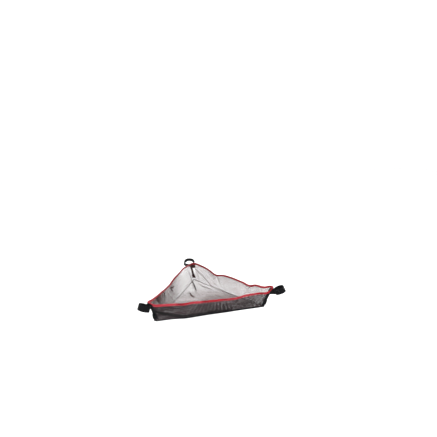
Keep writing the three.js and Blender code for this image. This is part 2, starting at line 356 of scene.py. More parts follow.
def lengths(points, closed=False):
    """Distance along a line of points, with one more for the way back if it is closed."""
    if closed:
        points = np.concatenate([points, points[:1]])
    steps = np.linalg.norm(np.diff(points, axis=0), axis=1)
    return np.concatenate([[0], np.cumsum(steps)])


def rounded_strip(half_thickness, half_width, across=8):
    """Section of a flat strap as (thickness, width) points, with round edges and a slight crown."""
    nose = np.linspace(-np.pi / 2, np.pi / 2, 5)
    span = np.linspace(1, -1, across)[1:-1]
    upper = np.stack([half_thickness * np.sin(nose[::-1]), np.cos(nose) * half_thickness], 1)
    right = upper + [0, half_width - half_thickness]
    inner = np.stack([np.full(len(span), -half_thickness), span * half_width * 0.93], 1)
    left = np.stack([-upper[:, 0], -upper[:, 1]], 1) - [0, half_width - half_thickness]
    outer = -inner
    return np.concatenate([right, inner, left, outer])


def stitch_object(name, middles, runs, outs, size, thickness, material):
    """Stitches of thread, each a short spindle lying along its run and half sunk in the cloth."""
    sides = 6
    turn = np.linspace(0, 2 * np.pi, sides, endpoint=False)
    shares = np.array([-0.36, 0, 0.36])
    bulge = np.array([0.85, 1.0, 0.85]) * thickness / 2
    crosses = unit(np.cross(outs, runs))
    local = []
    for share, radius in zip(shares, bulge):
        ring = (
            middles[:, None]
            + runs[:, None] * size * share
            + crosses[:, None] * (np.cos(turn) * radius)[None, :, None]
            + outs[:, None] * (np.sin(turn) * radius * 0.8)[None, :, None]
        )
        local.append(ring)
    tips = [middles - runs * size * 0.5 - outs * thickness * 0.3]
    tips.append(middles + runs * size * 0.5 - outs * thickness * 0.3)
    points = np.concatenate([np.concatenate(local, 1), tips[0][:, None], tips[1][:, None]], 1)
    per = points.shape[1]
    faces = []
    for ring in range(2):
        for k in range(sides):
            a, b = ring * sides + k, ring * sides + (k + 1) % sides
            faces.append([a, b, b + sides, a + sides])
    for k in range(sides):
        a, b = k, (k + 1) % sides
        faces.append([b, a, 3 * sides])
        faces.append([a + 2 * sides, b + 2 * sides, 3 * sides + 1])
    every = [[i * per + p for p in face] for i in range(len(middles)) for face in faces]
    corners = sum(len(face) for face in every)
    return new_object(name, points.reshape(-1, 3), every, np.zeros((corners, 2)), material)


def spaced(points, run, out, pitch, closed=False):
    """Even places along a line of points, with the directions there."""
    at = lengths(points, closed)
    if closed:
        points, run, out = (np.concatenate([a, a[:1]]) for a in (points, run, out))
    count = max(2, int(at[-1] / pitch))
    want = (np.arange(count) + 0.5) * at[-1] / count
    pick = [np.stack([np.interp(want, at, a[:, k]) for k in range(3)], 1) for a in (points, run, out)]
    return pick[0], unit(pick[1]), unit(pick[2])


# ---- materials ----


class Cloth:
    """A Principled material whose nodes are made by short calls. Inputs are numbers or sockets."""

    def __init__(self, name, **constants):
        self.material = bpy.data.materials.new(name)
        self.material.use_nodes = True
        self.tree = self.material.node_tree
        self.shader = self.tree.nodes["Principled BSDF"]
        for socket, value in constants.items():
            self.shader.inputs[socket.replace("_", " ")].default_value = value
        self.place = self.tree.nodes.new("ShaderNodeUVMap").outputs[0]
        self.object_place = self.tree.nodes.new("ShaderNodeTexCoord").outputs["Object"]

    def put(self, target, value):
        if isinstance(value, bpy.types.NodeSocket):
            self.tree.links.new(value, target)
        else:
            target.default_value = value

    def math(self, operation, *values, clamp=False):
        node = self.tree.nodes.new("ShaderNodeMath")
        node.operation, node.use_clamp = operation, clamp
        for target, value in zip(node.inputs, values):
            self.put(target, value)
        return node.outputs[0]

    def split(self, vector):
        node = self.tree.nodes.new("ShaderNodeSeparateXYZ")
        self.put(node.inputs[0], vector)
        return node.outputs[0], node.outputs[1]

    def noise(self, vector, scale, detail=2.0, roughness=0.5):
        node = self.tree.nodes.new("ShaderNodeTexNoise")
        self.put(node.inputs["Vector"], vector)
        node.inputs["Scale"].default_value = scale
        node.inputs["Detail"].default_value = detail
        node.inputs["Roughness"].default_value = roughness
        return node.outputs[0]

    def ramp(self, value, low, high, to_low=0.0, to_high=1.0):
        node = self.tree.nodes.new("ShaderNodeMapRange")
        node.interpolation_type = "SMOOTHSTEP"
        for target, number in zip(node.inputs, (value, low, high, to_low, to_high)):
            self.put(target, number)
        return node.outputs[0]

    def mix(self, share, first, second):
        node = self.tree.nodes.new("ShaderNodeMix")
        node.data_type = "RGBA"
        self.put(node.inputs["Factor"], share)
        colours = [s for s in node.inputs if s.type == "RGBA"]
        for target, value in zip(colours, (first, second)):
            self.put(target, value if isinstance(value, bpy.types.NodeSocket) else (*value, 1))
        return next(s for s in node.outputs if s.type == "RGBA")

    def wave(self, value, pitch, sharp=1.0):
        """From 0 to 1 and back over each pitch of a length."""
        turn = self.math("MULTIPLY", value, 2 * math.pi / pitch)
        rise = self.math("MULTIPLY_ADD", self.math("SINE", turn), 0.5, 0.5)
        return rise if sharp == 1 else self.math("POWER", rise, sharp)

    def finish(self, colour, roughness, height=None, depth=0.0, alpha=None):
        self.put(self.shader.inputs["Base Color"], colour)
        self.put(self.shader.inputs["Roughness"], roughness)
        if height is not None:
            bump = self.tree.nodes.new("ShaderNodeBump")
            bump.inputs["Strength"].default_value = 1.0
            bump.inputs["Distance"].default_value = depth
            self.put(bump.inputs["Height"], height)
            self.put(self.shader.inputs["Normal"], bump.outputs[0])
        if alpha is not None:
            self.put(self.shader.inputs["Alpha"], alpha)
        return self.material


def open_mesh(name, openings, axis, stretch, dark, light, bands=0.0):
    """Polyester mesh: two sets of round threads with open squares between them. The openings grow
    or shrink along one axis of the cloth, close up where it bunches in a fold, and may be
    uneven in bands across it, as a net looks in front of another net. In the folds the threads
    also darken to a quarter of their dark colour: painted shade in the creases."""
    c = Cloth(name, Sheen_Weight=0.03, Sheen_Roughness=0.5, Specular_IOR_Level=0.08)
    marks = c.tree.nodes.new("ShaderNodeAttribute")
    marks.attribute_name = "bunching_and_painted_shade"
    bunching_and_painted_shade = c.math("ADD", marks.outputs["Fac"], 0.0, clamp=True)
    opening = c.ramp(c.split(c.place)[axis], *stretch, *openings)
    opening = c.math("MULTIPLY", opening, c.math("MULTIPLY_ADD", bunching_and_painted_shade, -0.85, 1.0))
    if bands:
        run, rise = c.split(c.place)
        lean = c.ramp(run, -0.14, 0.12, -0.8, 0.4)
        band = c.wave(c.math("MULTIPLY_ADD", rise, lean, run), 0.019)
        starting = c.ramp(run, -0.17, -0.08)
        ending = c.ramp(run, 0.02, 0.16, bands, bands * 0.3)
        reach = c.math("MULTIPLY", starting, ending)
        opening = c.math("MULTIPLY_ADD", c.math("SUBTRACT", band, 0.5), reach, opening)
    drift = c.noise(c.place, 45, 2)
    sway = c.math("MULTIPLY", c.math("SUBTRACT", drift, 0.5), MESH_PITCH * 0.45)
    u, v = c.split(c.place)
    u = c.math("DIVIDE", c.math("ADD", u, sway), MESH_PITCH)
    v = c.math("DIVIDE", c.math("SUBTRACT", v, sway), MESH_PITCH)
    from_hole = []
    for value in (u, v):
        middle = c.math("SUBTRACT", c.math("FRACT", value), 0.5)
        from_hole.append(c.math("MULTIPLY", c.math("ABSOLUTE", middle), 2))
    powers = [c.math("POWER", value, 3.2) for value in from_hole]
    ring = c.math("POWER", c.math("ADD", *powers), 1 / 3.2)
    uneven = c.noise(c.place, 900, 1)
    edge = c.math("MULTIPLY_ADD", uneven, 0.08, c.math("SUBTRACT", opening, 0.04))
    solid = c.math("GREATER_THAN", ring, edge)
    # Threads are highest along their middles and pass over and under each other.
    thread = c.math("MAXIMUM", *from_hole)
    crown = c.ramp(thread, opening, 1.0)
    over = c.math("SINE", c.math("MULTIPLY", c.math("ADD", u, v), math.pi))
    height = c.math("MULTIPLY_ADD", over, 0.3, crown)
    ply = c.noise(c.place, 2600, 2)
    height = c.math("MULTIPLY_ADD", ply, 0.35, height)
    tone = c.noise(c.place, 14, 4, 0.6)
    speck = c.math("MULTIPLY", c.ramp(ply, 0.45, 0.75), 0.5)
    share = c.math("ADD", c.ramp(tone, 0.35, 0.7, 0, 0.5), speck, clamp=True)
    # Painted shade: where the cloth bunches in a fold its paler tone goes and the threads turn to a
    # quarter of the dark colour.
    share = c.math("MULTIPLY", share, c.math("SUBTRACT", 1.0, bunching_and_painted_shade))
    rough = c.ramp(ply, 0.3, 0.7, 0.62, 0.85)
    shaded = tuple(0.25 * value for value in dark)
    colour = c.mix(bunching_and_painted_shade, c.mix(share, dark, light), shaded)
    return c.finish(colour, rough, height, 0.0004, solid)


def ribbed_tape(name, dark, base, pale, sheen, pale_amount, rear_shade, rib=0.0011):
    """Grosgrain binding: fine ribs across the tape, with paler and shaded stretches, painted shade in the
    grooves between the ribs, and painted shade darkening it towards the rear corner."""
    c = Cloth(name, Sheen_Weight=sheen, Sheen_Roughness=0.4, Specular_IOR_Level=0.06)
    along, around = c.split(c.place)
    ribs = c.wave(along, rib, 0.7)
    yarn = c.wave(around, 0.0006)
    fuzz = c.noise(c.place, 1800, 2)
    height = c.math("MULTIPLY_ADD", yarn, 0.25, ribs)
    height = c.math("MULTIPLY_ADD", fuzz, 0.3, height)
    stretch = c.noise(c.object_place, 16, 3, 0.6)
    pale_stretch = c.math("MULTIPLY", c.ramp(stretch, 0.45, 0.72), c.ramp(fuzz, 0.2, 0.7, 0.6, 1.0))
    shaded = c.ramp(c.noise(c.object_place, 31, 3), 0.35, 0.6, 0.55, 0.0)
    # Painted shade in the grooves between the ribs.
    groove_shade = c.math("MULTIPLY", c.math("SUBTRACT", 1.0, ribs), 0.3)
    colour = c.mix(c.math("MAXIMUM", shaded, groove_shade), base, dark)
    colour = c.mix(c.math("MULTIPLY", pale_stretch, pale_amount), colour, pale)
    # Painted shade: the tape darkens towards the rear corner.
    rear_shade_share = c.ramp(c.split(c.object_place)[1], -0.10, 0.12, 0.0, rear_shade)
    colour = c.mix(rear_shade_share, colour, dark)
    return c.finish(colour, c.ramp(fuzz, 0.3, 0.7, 0.55, 0.8), height, 0.0003)


def webbing(name, dark, base, pale, course=0.0022):
    """Woven nylon strap: slanting courses that meet in chevrons, with scuffed high spots and painted shade
    in the low places of the weave.
    """
    c = Cloth(name, Sheen_Weight=0.01, Sheen_Roughness=0.35, Specular_IOR_Level=0.06)
    along, across = c.split(c.place)
    chevron = c.math("PINGPONG", across, course * 1.6)
    weave = c.wave(c.math("ADD", along, chevron), course)
    cords = c.wave(across, course * 0.8)
    fuzz = c.noise(c.place, 2400, 3)
    height = c.math("MULTIPLY_ADD", c.math("MULTIPLY", weave, cords), 0.8, 0)
    height = c.math("MULTIPLY_ADD", fuzz, 0.3, height)
    scuffs = c.ramp(c.noise(c.object_place, 60, 4, 0.65), 0.5, 0.75)
    high = c.math("MULTIPLY", scuffs, c.ramp(height, 0.4, 0.9))
    # Painted shade: the low places of the weave take the dark colour and the high places the base colour.
    colour = c.mix(c.ramp(height, 0.15, 0.7), dark, base)
    colour = c.mix(c.math("MULTIPLY", high, 0.55), colour, pale)
    return c.finish(colour, c.ramp(fuzz, 0.3, 0.7, 0.5, 0.8), height, 0.0005)


def pile(name, dark, pale, scale, depth, sheen):
    """Hook or loop facing: close tufts in rows, with painted light on their tops and painted shade between
    them.
    """
    c = Cloth(name, Sheen_Weight=sheen, Sheen_Roughness=0.6, Specular_IOR_Level=0.2)
    along, across = c.split(c.place)
    rows = c.math("MULTIPLY", c.wave(along, scale), c.wave(across, scale))
    tufts = c.noise(c.place, 1.6 / scale, 3, 0.7)
    height = c.math("MULTIPLY_ADD", tufts, 0.8, rows)
    # Painted light and shade: the tops of the tufts take the pale colour and the hollows between them the
    # dark one.
    share = c.ramp(height, 0.2, 1.2)
    return c.finish(c.mix(share, dark, pale), c.ramp(tufts, 0.3, 0.7, 0.8, 1.0), height, depth)


def thread(name, dark, pale):
    """Sewing thread, twisted."""
    c = Cloth(name, Sheen_Weight=0.2, Specular_IOR_Level=0.4)
    twist = c.noise(c.object_place, 1500, 2)
    wear = c.noise(c.object_place, 40, 2)
    share = c.math("MULTIPLY_ADD", twist, 0.5, c.math("MULTIPLY", wear, 0.5))
    return c.finish(c.mix(share, dark, pale), c.ramp(twist, 0.3, 0.7, 0.45, 0.7), twist, 0.00015)


def floor_paint():
    """Plain pale studio floor."""
    c = Cloth("studio_floor", Specular_IOR_Level=0.1)
    grain = c.noise(c.object_place, 3, 2)
    return c.finish(c.mix(grain, (0.86, 0.86, 0.86), (0.88, 0.88, 0.88)), 0.9)


# One cloth throughout: the front wall's darker, greyer threads are painted shade, and the lighter threads
# of the walls and floor seen from inside are painted light.
MAROON_DARK, MAROON_PALE = (0.050, 0.024, 0.023), (0.140, 0.074, 0.070)
MESHES = {  # openings as a share of the pitch, the axis and places between which they change
    "front": open_mesh("front_mesh", (0.56, 0.70), 0, (-0.10, 0.18), (0.015, 0.012, 0.013),
                       (0.060, 0.046, 0.051), bands=0.30),
    "right": open_mesh("right_mesh", (0.79, 0.82), 0, (-0.10, 0.20), (0.060, 0.027, 0.026),
                       (0.160, 0.082, 0.078)),
    "left": open_mesh("left_mesh", (0.85, 0.60), 0, (-0.12, 0.20), MAROON_DARK, MAROON_PALE),
    "floor": open_mesh("floor_mesh", (0.66, 0.83), 1, (0.0, 0.17), MAROON_DARK, MAROON_PALE),
}
RED_TAPE = ribbed_tape("red_binding", (0.10, 0.006, 0.010), (0.32, 0.013, 0.023), (0.45, 0.075, 0.095),
                       0.15, 0.5, 0.5)
BLACK_TAPE = ribbed_tape("black_binding", (0.001, 0.001, 0.0015), (0.003, 0.003, 0.0035),
                         (0.012, 0.012, 0.013), 0.0, 0.4, 0.0)
STRAP = webbing("strap_webbing", (0.002, 0.002, 0.003), (0.007, 0.007, 0.008), (0.03, 0.03, 0.033))
LOOP = pile("loop_facing", (0.005, 0.005, 0.006), (0.025, 0.025, 0.028), 0.0009, 0.0004, 0.2)
HOOK = pile("hook_facing", (0.004, 0.004, 0.005), (0.016, 0.016, 0.018), 0.0016, 0.0007, 0.05)
RED_THREAD = thread("red_thread", (0.25, 0.012, 0.02), (0.6, 0.08, 0.10))
BLACK_THREAD = thread("black_thread", (0.006, 0.006, 0.007), (0.04, 0.04, 0.045))


# ---- the bag ----


def finish_piece(piece, body, slot, *nodes):
    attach(piece, body)
    if nodes:
        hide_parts(*nodes)
    return piece


def wall(side):
    along, height = np.meshgrid(places(230), np.linspace(0, 1, 36), indexing="ij")
    point, _, _, out = wall_frame(side, along, height)
    run = half_length(side, 1, height)[0]
    uv = np.stack([along * run, height * DEPTH], -1)
    bunching_and_painted_shade = wall_folds(side, uv[..., 0], height)[1]
    piece = sheet_object(side + "_wall_cloth", point, out, uv, MESH_THICKNESS, MESHES[side], bunching_and_painted_shade)
    return finish_piece(piece, "bag", "mesh", side + "_wall")


def floor_height(x, y, share, edge):
    """Height of the floor cloth and its bunching, which also sets painted crease shade, from its seam's
    height and the share of the way there.
    """
    sag = -FLOOR_SAG * (1 - share**2)
    loose = 1 - share**5
    lift = ripples(x, y, 5, 0.13, 0.002) * loose
    height, bunching_and_painted_shade = folds(x, y, FLOOR_FOLDS)
    return edge + sag + lift + height * loose, bunching_and_painted_shade


def floor_cloth():
    rings = np.linspace(0.004, 1, 72)
    edge = np.concatenate([wall_point(side, places(130)[:-1], 0.0) for side in SIDES])
    edge = np.concatenate([edge, edge[:1]])
    share = rings[:, None] + 0 * edge[None, :, 0]
    x, y = share * edge[:, 0], share * edge[:, 1]
    seam = -DEPTH + (edge[:, 2] + DEPTH) * share**2
    height, bunching_and_painted_shade = floor_height(x, y, share, seam)
    point = np.stack([x, y, height], -1)
    steps = (np.gradient(point, axis=0), np.gradient(point, axis=1))
    up = unit(np.cross(*steps))
    up[:, -1] = up[:, 0] = unit(up[:, -1] + up[:, 0])
    return point, up, bunching_and_painted_shade


def floor():
    point, up, bunching_and_painted_shade = floor_cloth()
    rings, stations = point.shape[:2]
    stations -= 1
    point, up, bunching_and_painted_shade = point[:, :-1], up[:, :-1], bunching_and_painted_shade[:, :-1]
    half = MESH_THICKNESS / 2
    tip = point[0].mean(0)
    points = np.concatenate([(point + up * half).reshape(-1, 3), (point - up * half).reshape(-1, 3)])
    points = np.concatenate([points, [tip + [0, 0, half], tip - [0, 0, half]]])
    count = rings * stations
    r, c = quads(rings, stations, False, True)
    top = r * stations + c % stations
    ring = np.arange(stations)
    after = (ring + 1) % stations
    outer = (rings - 1) * stations
    band = np.stack([ring + outer, ring + outer + count, after + outer + count, after + outer], 1)
    faces = top.tolist() + (top[:, ::-1] + count).tolist() + band[:, ::-1].tolist()
    faces += [[2 * count, int(a), int(b)] for a, b in zip(ring, after)]
    faces += [[2 * count + 1, int(b) + count, int(a) + count] for a, b in zip(ring, after)]
    uv = [points[i][:2] for face in faces for i in face]
    bunching_and_painted_shade = np.concatenate([bunching_and_painted_shade.ravel(), bunching_and_painted_shade.ravel(), [0, 0]])
    piece = new_object("floor_cloth", points, faces, uv, MESHES["floor"], bunching_and_painted_shade)
    return finish_piece(piece, "bag", "mesh", "floor_panel")


def round_the_bag(height, count=250):
    """A line round the walls at one height, with the directions along, up and out."""
    parts = [wall_frame(side, places(count)[:-1], np.full(count - 1, height)) for side in SIDES]
    point, run, up, out = (np.concatenate(column) for column in zip(*parts))
    run = unit(np.roll(point, -1, axis=0) - np.roll(point, 1, axis=0))
    blur = up
    for _ in range(6):
        blur = blur + 0.5 * (np.roll(blur, 1, axis=0) + np.roll(blur, -1, axis=0))
    up = unit(blur)
    out = unit(np.cross(run, up))
    up = unit(np.cross(out, run))
    return point, run, up, out


def rim_section():
    """The folded tape as (out, up) points: a round fold above, pinched by a stitch row below."""
    w, t = TAPE_WIDTH, TAPE_HALF
    crown = [(t * 1.05 * math.cos(a), t * math.sin(a)) for a in np.linspace(0, math.pi, 9)]
    side = [(t * 1.12, -0.25 * w), (t * 1.1, -0.5 * w), (t * 0.92, -0.68 * w), (t * 0.82, -STITCH_ROW * w),
            (t * 0.95, -0.84 * w), (t * 0.98, -0.93 * w), (t * 0.7, -w)]
    return np.array(crown + [(-x, y) for x, y in side] + side[::-1])


def rim_tape():
    point, run, up, out = round_the_bag(1.0)
    section = rim_section()
    at = lengths(point, True)
    girth = lengths(section, True)
    swell = 1 + 0.10 * np.sin(at[:-1] / 0.034) + 0.08 * np.sin(at[:-1] / 0.0113 + 1.2)
    wide = 1 + 0.05 * np.sin(at[:-1] / 0.05 + 0.5)
    rings = (
        point[:, None]
        + out[:, None] * (section[:, 0][None] * swell[:, None])[..., None]
        + up[:, None] * (section[:, 1][None] * wide[:, None])[..., None]
    )
    piece = tube_object("rim_tape", rings, at, girth, RED_TAPE, closed=True)
    finish_piece(piece, "bag", "red_tape", *[side + "_rim_binding" for side in SIDES])
    middles, runs, outs = [], [], []
    for way_out in (1, -1):
        line = point + out * way_out * TAPE_HALF * 0.92 - up * TAPE_WIDTH * STITCH_ROW
        for store, value in zip((middles, runs, outs), spaced(line, run, out * way_out, 0.004, True)):
            store.append(value)
    stitches = [np.concatenate(part) for part in (middles, runs, outs)]
    finish_piece(stitch_object("rim_stitching", *stitches, 0.0031, 0.0008, RED_THREAD), "bag", "red_tape")


def seam_tape():
    point, run, up, out = round_the_bag(0.0)
    level = unit(np.stack([out[:, 0], out[:, 1], 0 * out[:, 0]], 1))
    down = np.array([0, 0, -1.0])
    count = len(point) // 3 + 1
    w = np.concatenate([smooth_line(SEAM_WIDTH[side], places(count)[:-1]) for side in SIDES])[:, None]
    near, far = MESH_THICKNESS * 0.4, np.clip(w * 0.4, 0.0008, 0.0021)
    leg = [(1, near), (1.02, far * 0.75), (0.9, far), (STITCH_ROW, far * 0.85), (0.6, far),
           (0.3, far * 1.05)]
    nose = np.linspace(-0.35, -1.2, 4)
    rings = [point + up * w * share + out * off for share, off in leg]
    rings.append(point + up * 0.0008 + out * far)
    rings += [point + far * (level * math.cos(turn) - down * math.sin(turn)) for turn in nose]
    rings.append(point + down * far)
    rings += [point - level * w * share + down * off for share, off in reversed(leg)]
    rings.append(point - level * near * 3 + down * near)
    rings.append(point + out * near + up * near * 3)
    rings = np.stack(rings, 1)
    girth = lengths(rings[0], True)
    piece = tube_object("seam_tape", rings, lengths(point, True), girth, BLACK_TAPE, closed=True)
    finish_piece(piece, "bag", "black_tape", *[side + "_floor_binding" for side in SIDES])
    rows = [
        spaced(point + up * w * STITCH_ROW + out * far * 0.95, run, out, 0.0042, True),
        spaced(point - level * w * STITCH_ROW + down * far * 0.95, run, 0 * out + down, 0.0042, True),
    ]
    stitches = [np.concatenate(pair) for pair in zip(*rows)]
    piece = stitch_object("seam_stitching", *stitches, 0.0031, 0.0007, BLACK_THREAD)
    finish_piece(piece, "bag", "black_tape")


# ---- corners ----


def corner_sides(corner):
    """The wall that ends at a corner and the one that starts there."""
    ending = next(side for side, ends in SIDES.items() if ends[2] == corner)
    starting = next(side for side, ends in SIDES.items() if ends[1] == corner)
    return ending, starting


def corner_frame(corner, across, drop):
    """Points on the outside of a corner, "across" round it and "drop" below the rim, with their
    directions along the wall, up and out."""
    height = 1 + drop / DEPTH
    ending, starting = corner_sides(corner)
    along_ending = 1 - np.abs(across) / half_length(ending, 1, height)[0]
    along_starting = -1 + np.abs(across) / half_length(starting, -1, height)[0]
    first = wall_frame(ending, along_ending, height)
    last = wall_frame(starting, along_starting, height)
    weight = smoothstep(across / 0.004 + 0.5)[..., None]
    point = np.where((across < 0)[..., None], first[0], last[0])
    mixed = [unit(a * (1 - weight) + b * weight) for a, b in zip(first[1:], last[1:])]
    return point, *mixed


def corner_patch(name, corner, reach, low, high, off, thickness, material, slant=0):
    """Webbing folded round a corner, "off" from the wall's middle surface. Its upper end may stand to
    one side of the corner."""
    across, drop = np.meshgrid(np.linspace(-reach, reach, 33), np.linspace(low, high, 25), indexing="ij")
    point, _, _, out = corner_frame(corner, across + slant * (drop - CORNER_TAPE_FOOT), drop)
    edge = np.minimum(reach - np.abs(across), np.minimum(drop - low, high - drop))
    plump = thickness * (0.45 + 0.55 * np.sqrt(np.clip(edge / 0.0012, 0, 1)))
    middle = point + out * (off + thickness / 2)
    uv = np.stack([drop, across], -1)
    return sheet_object(name, middle, out, uv, plump, material)


def patch_stitches(corner, lines, off, slant=0):
    """Stitch places along lines of (across, drop) points on the outside of a corner."""
    found = []
    for line in lines:
        line = np.array(line, float)
        t = np.linspace(0, len(line) - 1, 24 * (len(line) - 1) + 1)
        across, drop = (np.interp(t, np.arange(len(line)), line[:, k]) for k in (0, 1))
        point, _, _, out = corner_frame(corner, across + slant * (drop - CORNER_TAPE_FOOT), drop)
        point = point + out * off
        run = unit(np.gradient(point, axis=0))
        found.append(spaced(point, run, out, 0.0034))
    return [np.concatenate(part) for part in zip(*found)]


def corner_webbing(corner):
    off, thick, hem_thick = MESH_THICKNESS / 2, 0.0014, 0.0026
    reach, top, foot = WEBBING_REACH[corner], CORNER_TAPE_TOP, CORNER_TAPE_FOOT
    slant = WEBBING_SLANT[corner]
    shape = reach, foot, top, off, thick, BLACK_TAPE, slant
    tape = corner_patch(corner + "_corner_webbing", corner, *shape)
    finish_piece(tape, "bag", "black_tape", corner + "_corner_tape")
    hem_top, hem_off = foot + HEM_HEIGHT, off + thick * 0.8
    shape = reach + 0.0008, foot - 0.0015, hem_top, hem_off, hem_thick, BLACK_TAPE, slant
    hem = corner_patch(corner + "_folded_hem", corner, *shape)
    finish_piece(hem, "bag", "black_tape", corner + "_tape_hem")
    inset = reach - 0.0025
    edges = [[(end, hem_top + 0.002), (end, top - 0.012)] for end in (-inset, inset)]
    rows = [[(-inset, rise), (inset, rise)] for rise in (hem_top - 0.002, foot + 0.003)]
    found = [
        patch_stitches(corner, edges, off + thick + 0.0001, slant),
        patch_stitches(corner, rows, hem_off + hem_thick, slant),
    ]
    stitches = [np.concatenate(pair) for pair in zip(*found)]
    piece = stitch_object(corner + "_webbing_stitching", *stitches, 0.0027, 0.0007, BLACK_THREAD)
    finish_piece(piece, "bag", "black_tape")


def strap_space(corner):
    """A function from strap lengths (away from the bag, across the leg, up the leg) to the bag's frame."""
    u, across = way(CORNERS[corner]), way(CORNERS[corner] + 90)
    lean = math.radians(LEG_LEAN)
    up = np.array([0, 0, 1.0])
    away = u * math.cos(lean) + up * math.sin(lean)
    along_leg = up * math.cos(lean) - u * math.sin(lean)
    origin = u * HINGE_RADIUS - up * HINGE_DROP
    axes = np.stack([away, across, along_leg])

    def place(local):
        local = np.array(local, float)
        round_loop = np.degrees(np.arctan2(local[..., 1] - LOOP_ASIDE, local[..., 0] - LOOP_MIDDLE))
        leaning = smoothstep((np.abs(round_loop - 50) - 15) / 50)  # all but the flap's bend
        local[..., 0] -= STRAP_LEAN[corner] * leaning * local[..., 2]
        return origin + (local + STRAP_SHIFT[corner]) @ axes

    return place, axes


LOOP_SHAPE = {  # how much wider the loop is across the leg, and how uneven its edges are
    "front_left": (1.0, 0.0006),
    "front_right": (1.0, 0.0008),
    "rear": (1.2, 0.0010),
}
ANCHOR_TOP = {"front_left": -0.002, "front_right": -0.002, "rear": -0.002}  # above the rim's corner
ANCHOR_FOOT = {"front_left": -0.0245, "front_right": -0.0245, "rear": -0.0245}
ANCHOR_REACH = {"front_left": 0.0095, "front_right": 0.0095, "rear": 0.0095}
NECK_HALF = 0.0055  # half the neck's thickness, at its ends
NECK_FOLLOWS = (0.3005, 0.3085)  # from the bag's axis, where the neck goes from bag to strap


def strap_anchor(corner):
    """Patch over the corner, and the doubled neck that joins it to the leg strap."""
    off, thick = TAPE_HALF + 0.0006, 0.0013
    foot, top, reach = ANCHOR_FOOT[corner], ANCHOR_TOP[corner], ANCHOR_REACH[corner]
    patch = corner_patch(corner + "_anchor_patch", corner, reach, foot, top, off, thick, STRAP)
    finish_piece(patch, "bag", "strap_webbing", corner + "_strap_anchor")
    inset, low, high = reach - 0.002, foot + 0.003, top - 0.003
    rows = [[(way_out * inset, low), (way_out * inset, high)] for way_out in (-1, 1)]
    stitches = patch_stitches(corner, rows, off + thick + 0.0001)
    piece = stitch_object(corner + "_anchor_stitching", *stitches, 0.0028, 0.0008, BLACK_THREAD)
    finish_piece(piece, "bag", "strap_webbing")

    space, axes = strap_space(corner)
    u = way(CORNERS[corner])
    section = rounded_strip(0.15, 0.5, 10)
    aside, share_up = NECK_HALF * section[:, 0] / 0.15, section[:, 1] + 0.5
    point, _, _, out = corner_frame(corner, aside, foot + 0.001 + share_up * (top - foot - 0.002))
    start = point + out * (off + thick * 0.5)
    wide = LOOP_REACH[1] * LOOP_SHAPE[corner][0]
    on_loop = LOOP_MIDDLE - LOOP_REACH[0] * np.sqrt(1 - ((aside - LOOP_ASIDE) / wide) ** 2)
    end = space(np.stack([on_loop, aside, STRAP_ABOVE_HINGE - STRAP_WIDTH * (0.97 - 0.94 * share_up)], 1))
    rings = []
    for share in np.linspace(0, 1, 15):
        pinch = 0.35 * math.sin(math.pi * share) ** 2
        rings.append(start + (end - start) * share - axes[1] * (aside * pinch)[:, None])
    rings = np.array(rings)
    at = lengths(rings.mean(1))
    neck = tube_object(corner + "_strap_neck", rings, at, lengths(section * 0.025, True), STRAP)
    start, end = (tuple(u * distance + [0, 0, -HINGE_DROP]) for distance in NECK_FOLLOWS)
    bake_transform(neck)


# Places round a loop, in degrees from its outer end
BAND_START, BAND_END, FLAP_START, FLAP_END = 58, 280, 36, -128
PATCH_START, PATCH_END = -84, -125
FLAP_OUT = 0.0046  # how far the flap stands out where it laps the band
LOOP_PATCH_OUT, HOOK_PATCH_OUT = 0.0016, 0.0029  # from the middle of the band
PATCH_HALF = 0.00045  # half the thickness of a loop or hook patch
PATCH_INSET = 0.0015  # from the strap's edge to a patch's


def loop_line(corner, degrees, out):
    """Points round a strap loop and the way out of it, in strap lengths."""
    wide, _ = LOOP_SHAPE[corner]
    turn = np.radians(degrees)
    x = LOOP_MIDDLE + (LOOP_REACH[0] + out) * np.cos(turn)
    y = LOOP_ASIDE + (LOOP_REACH[1] * wide + out) * np.sin(turn)
    away = unit(np.stack([np.cos(turn) * LOOP_REACH[1] * wide, np.sin(turn) * LOOP_REACH[0]], 1))
    return np.stack([x, y, 0 * x], 1), np.concatenate([away, 0 * x[:, None]], 1)


def flap_out(degrees):
    return FLAP_OUT * smoothstep((50 - degrees) / 130)


def strap_stretch(name, corner, start, end, out_at, half_thickness, half_width, material, round_end=False):
    """A length of strap round the loop, from one place to another."""
    space, _ = strap_space(corner)
    count = max(8, int(abs(end - start) / 2.5))
    degrees = np.linspace(start, end, count)
    line, away = loop_line(corner, degrees, out_at(degrees))
    at = lengths(line)
    section = rounded_strip(half_thickness, half_width, 10)
    _, uneven = LOOP_SHAPE[corner]
    narrow = np.ones(count)
    if round_end:
        left = (at[-1] - at) / 0.005
        narrow = 1 - 0.35 * (1 - np.sqrt(1 - (1 - np.clip(left, 0, 1)) ** 2))
    middle = STRAP_ABOVE_HINGE - STRAP_WIDTH / 2
    phase = CORNERS[corner]
    loose = np.sin(np.radians(degrees - 180) / 2) ** 2  # 0 beside the bag, 1 at the outer end
    wander = uneven * np.sin(np.radians(degrees * 2 + phase)) * loose
    flare = uneven * 60 * np.sin(np.radians(degrees + 2 * phase)) * loose
    width = section[:, 1][None] * narrow[:, None]
    out = section[:, 0][None] + width * flare[:, None]
    local = line[:, None] + away[:, None] * out[..., None]
    local[..., 2] = middle + wander[:, None] + width
    rings = space(local)
    if start > end:
        rings = rings[:, ::-1]
    return tube_object(name, rings, at, lengths(section, True), material)


